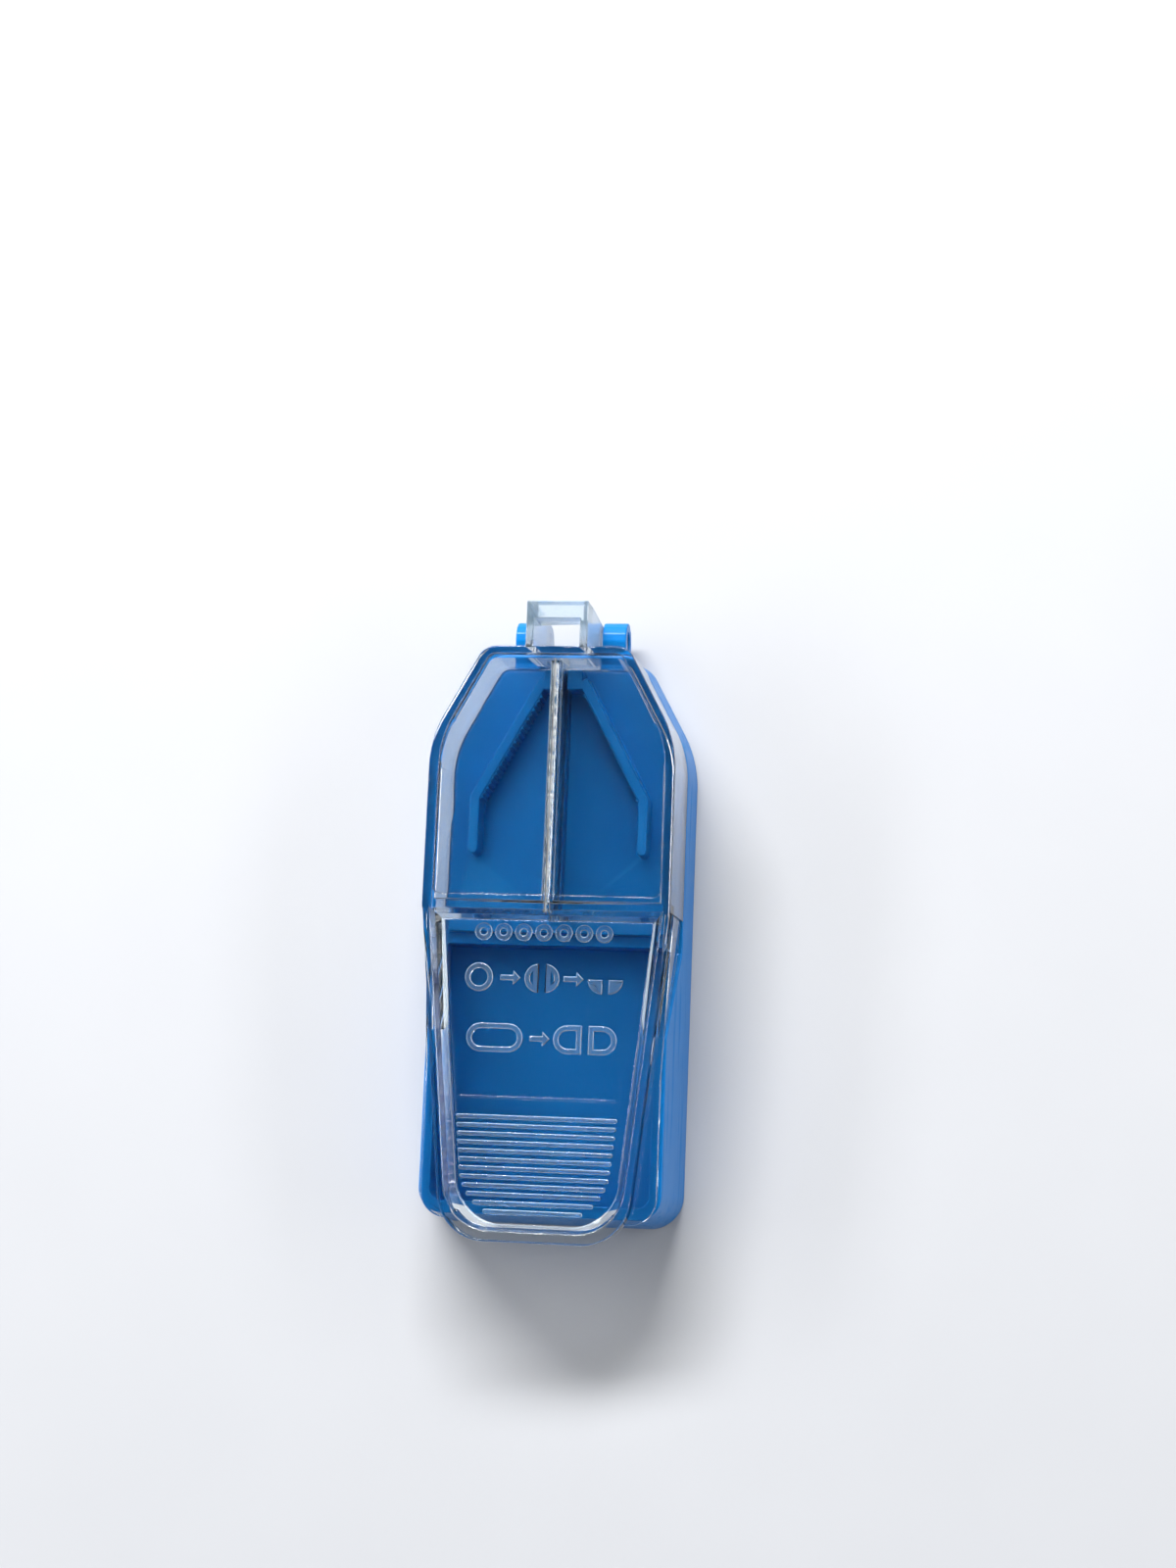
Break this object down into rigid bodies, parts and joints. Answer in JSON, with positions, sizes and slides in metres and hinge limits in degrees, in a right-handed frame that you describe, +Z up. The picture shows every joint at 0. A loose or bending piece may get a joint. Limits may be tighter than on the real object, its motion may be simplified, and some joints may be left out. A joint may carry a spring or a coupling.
{
  "type": "pill splitter",
  "caption": "Hand-held tablet splitter: shallow blue base with a V-shaped pill holder and storage tray, and a deep clear lid carrying a steel blade on a rear hinge.",
  "frame": {"origin": "centre of the underside, at the middle of the overall length and width", "axes": "+X across the body, +Y along the body towards the hinge, +Z up out of the lid"},
  "size_m": [0.039, 0.094, 0.0202],
  "materials": {
    "base": "moulded blue plastic, satin gloss",
    "lid": "clear moulded plastic",
    "blade": "ground stainless strip"
  },
  "bodies": {
    "body": {"base": "base"},
    "cover": {"lid": "lid", "blade": "blade"}
  },
  "joints": [
    {"name": "lid_hinge", "type": "hinge", "parent": "body", "child": "cover", "pos_m": [0, 0.044, 0.0046], "axis": [-1, 0, 0], "range_deg": [0, 90]}
  ]
}
